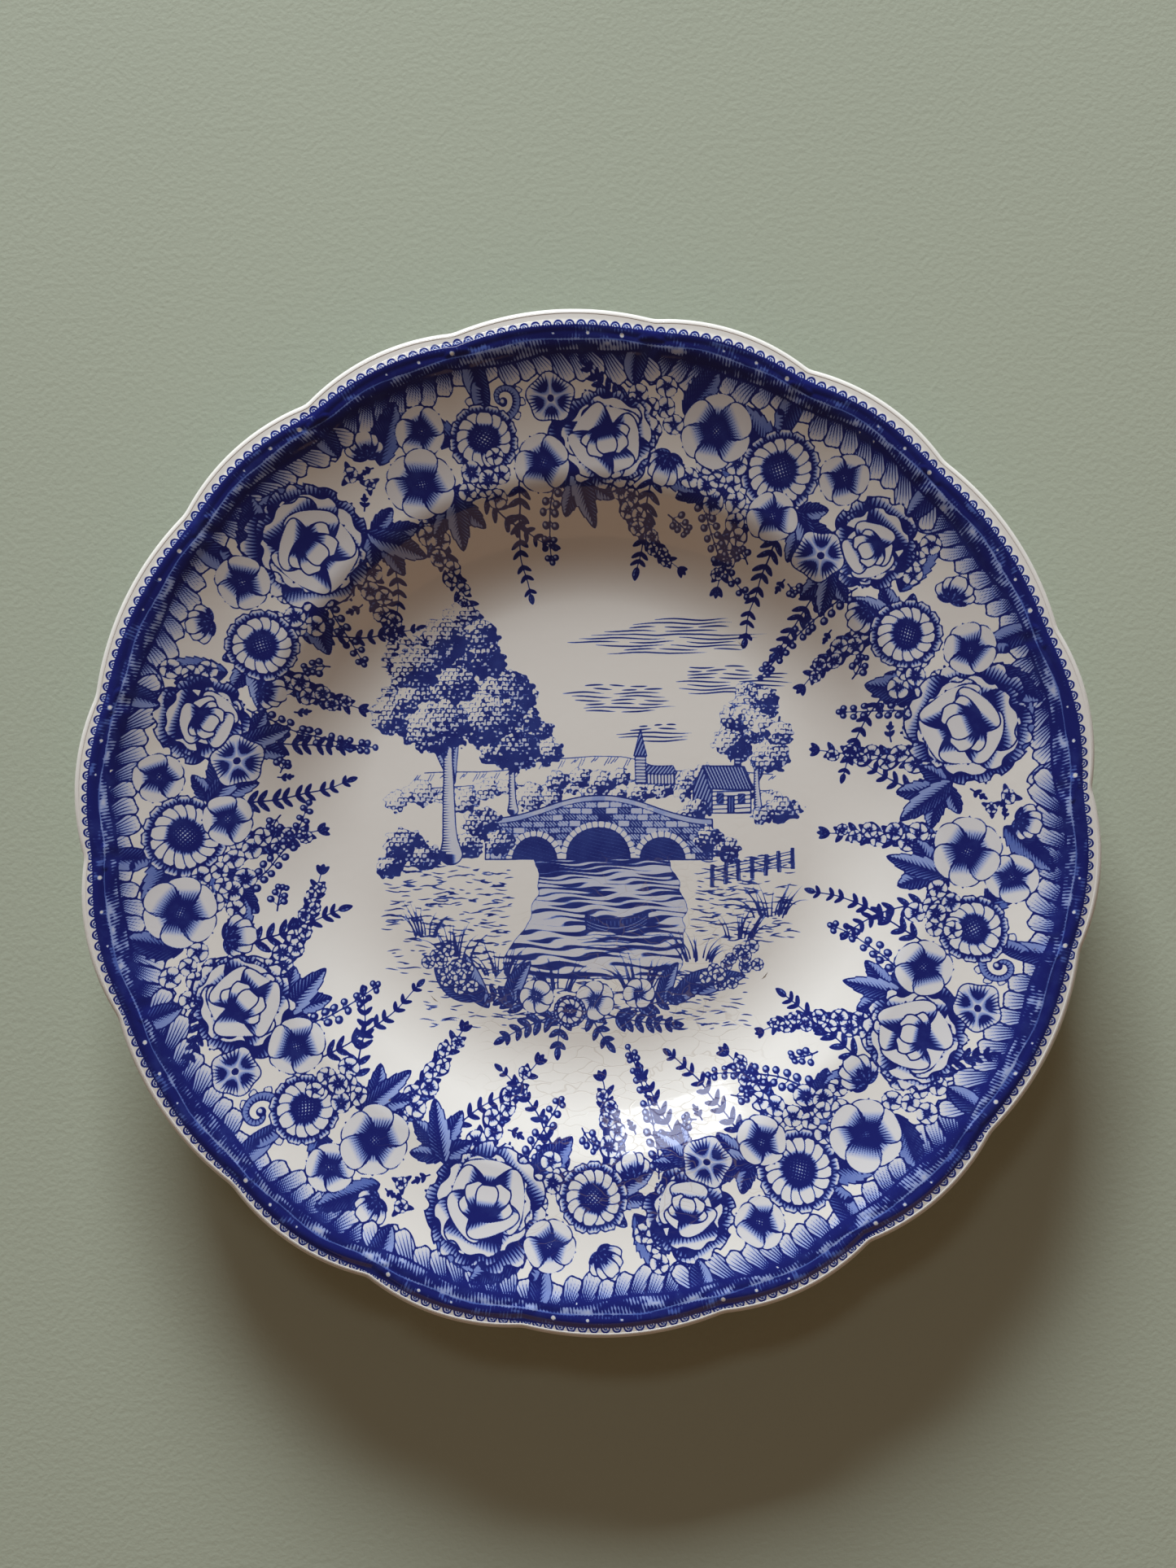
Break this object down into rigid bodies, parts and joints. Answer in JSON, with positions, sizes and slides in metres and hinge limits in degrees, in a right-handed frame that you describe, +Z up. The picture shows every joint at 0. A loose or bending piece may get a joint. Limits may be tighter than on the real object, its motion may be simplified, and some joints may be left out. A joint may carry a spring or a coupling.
{
  "type": "scalloped dinner plate",
  "caption": "Round earthenware dinner plate with a scalloped, cord-moulded rim, a printed blue face and a turned foot ring.",
  "frame": {"origin": "centre of the foot ring's standing plane, the lowest plane of the plate", "axes": "+Z up along the plate's axis, out of the eating face; +X through one of the six deep notches of the rim"},
  "size_m": [0.2676, 0.27, 0.0272],
  "materials": {
    "glazed_body": "warm white earthenware under a clear gloss glaze, bare where the foot stands",
    "border_transfer": "cobalt blue border print under clear gloss glaze",
    "centre_transfer": "cobalt blue centre print under clear gloss glaze"
  },
  "bodies": {
    "root": {"earthenware_body": "glazed_body", "border_print": "border_transfer", "centre_print": "centre_transfer"}
  },
  "joints": []
}
